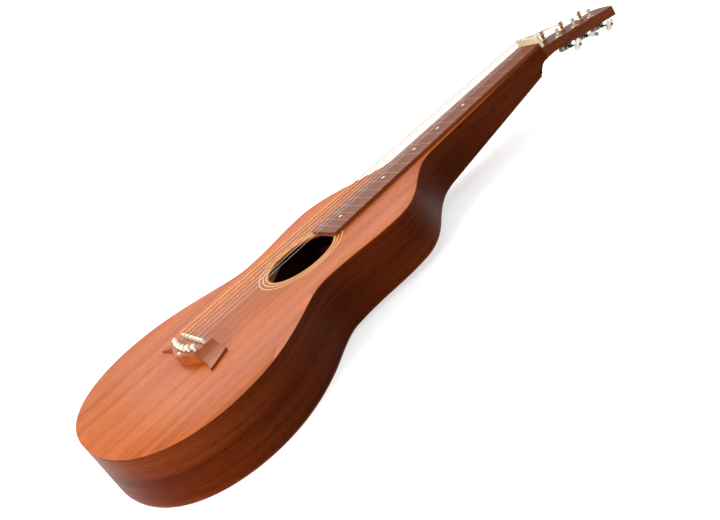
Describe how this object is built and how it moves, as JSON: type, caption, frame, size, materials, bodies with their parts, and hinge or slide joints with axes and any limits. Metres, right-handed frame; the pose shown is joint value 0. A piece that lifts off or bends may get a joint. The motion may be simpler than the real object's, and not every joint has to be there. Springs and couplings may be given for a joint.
{
  "type": "lap steel guitar",
  "caption": "Acoustic lap steel guitar: flat-top wooden body running into a hollow square neck, swept-wing bridge, tall bone nut and saddle, flush fret lines, open geared tuners.",
  "frame": {"origin": "on the flat run of the back, straight under the middle of the saddle, on the instrument's middle plane", "axes": "+X across the strings to the treble side, +Y along the strings from the saddle to the head, +Z square to the soundboard, out of its face"},
  "size_m": [0.3866, 0.9681, 0.0974],
  "materials": {
    "top_wood": "satin lacquered mahogany",
    "body_wood": "satin lacquered dark mahogany",
    "board_wood": "oiled dark hardwood",
    "bridge_wood": "satin mahogany",
    "inner_wood": "raw wood",
    "maple_line": "lacquered pale inlay",
    "bone": "polished bone",
    "button_cream": "polished cream plastic",
    "bronze_string": "wound bronze",
    "steel_string": "plain bright steel",
    "brass": "polished",
    "aged_metal": "dark aged plating",
    "steel": "satin"
  },
  "bodies": {
    "instrument": {"soundboard": "top_wood", "back_plate": "body_wood", "side_treble": "body_wood", "side_bass": "body_wood", "tail_block": "inner_wood", "head": "body_wood", "fretboard": "board_wood", "nut": "bone", "bridge": "bridge_wood", "saddle": "bone", "bridge_plate": "inner_wood", "x_brace": "inner_wood", "upper_brace": "inner_wood", "back_brace_low": "inner_wood", "back_brace_high": "inner_wood", "rosette_ring_1": "maple_line", "rosette_ring_2": "maple_line", "rosette_ring_3": "maple_line", "bridge_pin_1": "bone", "bridge_pin_2": "bone", "bridge_pin_3": "bone", "bridge_pin_4": "bone", "bridge_pin_5": "bone", "bridge_pin_6": "bone", "string_1": "steel_string", "string_2": "steel_string", "string_3": "bronze_string", "string_4": "bronze_string", "string_5": "bronze_string", "string_6": "bronze_string", "tuner_bushing_1": "brass", "tuner_plate_1": "aged_metal", "tuner_bushing_2": "brass", "tuner_plate_2": "aged_metal", "tuner_bushing_3": "brass", "tuner_plate_3": "aged_metal", "tuner_bushing_4": "brass", "tuner_plate_4": "aged_metal", "tuner_bushing_5": "brass", "tuner_plate_5": "aged_metal", "tuner_bushing_6": "brass", "tuner_plate_6": "aged_metal"},
    "post_1": {"tuner_post_1": "steel"},
    "worm_1": {"tuner_worm_1": "aged_metal", "tuner_button_1": "button_cream"},
    "post_2": {"tuner_post_2": "steel"},
    "worm_2": {"tuner_worm_2": "aged_metal", "tuner_button_2": "button_cream"},
    "post_3": {"tuner_post_3": "steel"},
    "worm_3": {"tuner_worm_3": "aged_metal", "tuner_button_3": "button_cream"},
    "post_4": {"tuner_post_4": "steel"},
    "worm_4": {"tuner_worm_4": "aged_metal", "tuner_button_4": "button_cream"},
    "post_5": {"tuner_post_5": "steel"},
    "worm_5": {"tuner_worm_5": "aged_metal", "tuner_button_5": "button_cream"},
    "post_6": {"tuner_post_6": "steel"},
    "worm_6": {"tuner_worm_6": "aged_metal", "tuner_button_6": "button_cream"}
  },
  "joints": [
    {"name": "worm_1_turn", "type": "hinge", "parent": "instrument", "child": "worm_1", "pos_m": [0.0163, 0.68129, 0.04455], "axis": [1, 0, 0], "continuous": true},
    {"name": "post_1_turn", "type": "hinge", "parent": "instrument", "child": "post_1", "pos_m": [0.0163, 0.67577, 0.06542], "axis": [0, 0.1736, 0.9848], "continuous": true},
    {"name": "worm_2_turn", "type": "hinge", "parent": "instrument", "child": "worm_2", "pos_m": [0.01345, 0.71723, 0.03821], "axis": [1, 0, 0], "continuous": true},
    {"name": "post_2_turn", "type": "hinge", "parent": "instrument", "child": "post_2", "pos_m": [0.01345, 0.71171, 0.05908], "axis": [0, 0.1736, 0.9848], "continuous": true},
    {"name": "worm_3_turn", "type": "hinge", "parent": "instrument", "child": "worm_3", "pos_m": [0.0106, 0.75318, 0.03187], "axis": [1, 0, 0], "continuous": true},
    {"name": "post_3_turn", "type": "hinge", "parent": "instrument", "child": "post_3", "pos_m": [0.0106, 0.74766, 0.05275], "axis": [0, 0.1736, 0.9848], "continuous": true},
    {"name": "worm_4_turn", "type": "hinge", "parent": "instrument", "child": "worm_4", "pos_m": [-0.0106, 0.75318, 0.03187], "axis": [-1, 0, 0], "continuous": true},
    {"name": "post_4_turn", "type": "hinge", "parent": "instrument", "child": "post_4", "pos_m": [-0.0106, 0.74766, 0.05275], "axis": [0, 0.1736, 0.9848], "continuous": true},
    {"name": "worm_5_turn", "type": "hinge", "parent": "instrument", "child": "worm_5", "pos_m": [-0.01345, 0.71723, 0.03821], "axis": [-1, 0, 0], "continuous": true},
    {"name": "post_5_turn", "type": "hinge", "parent": "instrument", "child": "post_5", "pos_m": [-0.01345, 0.71171, 0.05908], "axis": [0, 0.1736, 0.9848], "continuous": true},
    {"name": "worm_6_turn", "type": "hinge", "parent": "instrument", "child": "worm_6", "pos_m": [-0.0163, 0.68129, 0.04455], "axis": [-1, 0, 0], "continuous": true},
    {"name": "post_6_turn", "type": "hinge", "parent": "instrument", "child": "post_6", "pos_m": [-0.0163, 0.67577, 0.06542], "axis": [0, 0.1736, 0.9848], "continuous": true}
  ],
  "couplings": [
    {"joint": "post_1_turn", "follows": "worm_1_turn", "ratio": -0.071429},
    {"joint": "post_2_turn", "follows": "worm_2_turn", "ratio": -0.071429},
    {"joint": "post_3_turn", "follows": "worm_3_turn", "ratio": -0.071429},
    {"joint": "post_4_turn", "follows": "worm_4_turn", "ratio": -0.071429},
    {"joint": "post_5_turn", "follows": "worm_5_turn", "ratio": -0.071429},
    {"joint": "post_6_turn", "follows": "worm_6_turn", "ratio": -0.071429}
  ]
}
